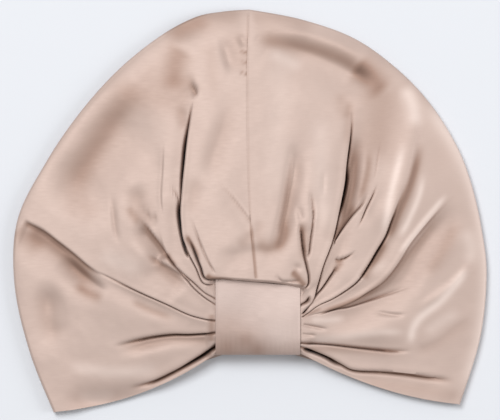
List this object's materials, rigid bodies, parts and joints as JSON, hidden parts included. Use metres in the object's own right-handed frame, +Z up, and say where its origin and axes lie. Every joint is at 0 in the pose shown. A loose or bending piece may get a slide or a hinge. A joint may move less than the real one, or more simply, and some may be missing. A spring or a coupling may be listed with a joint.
{
  "type": "sleep bonnet",
  "caption": "Satin turban sleep bonnet lying flat with its front up, its front edge gathered into a plain band, open at the mouth.",
  "frame": {"origin": "on the ground under the middle of the bonnet's bounding box", "axes": "+X to the right as the front is seen from above, +Y from the mouth to the crown, +Z up from the ground"},
  "size_m": [0.3285, 0.2771, 0.0334],
  "materials": {
    "satin": "satin",
    "band_satin": "satin"
  },
  "bodies": {
    "root": {"left_panel": "satin", "right_panel": "satin", "centre_band": "band_satin"}
  },
  "joints": []
}
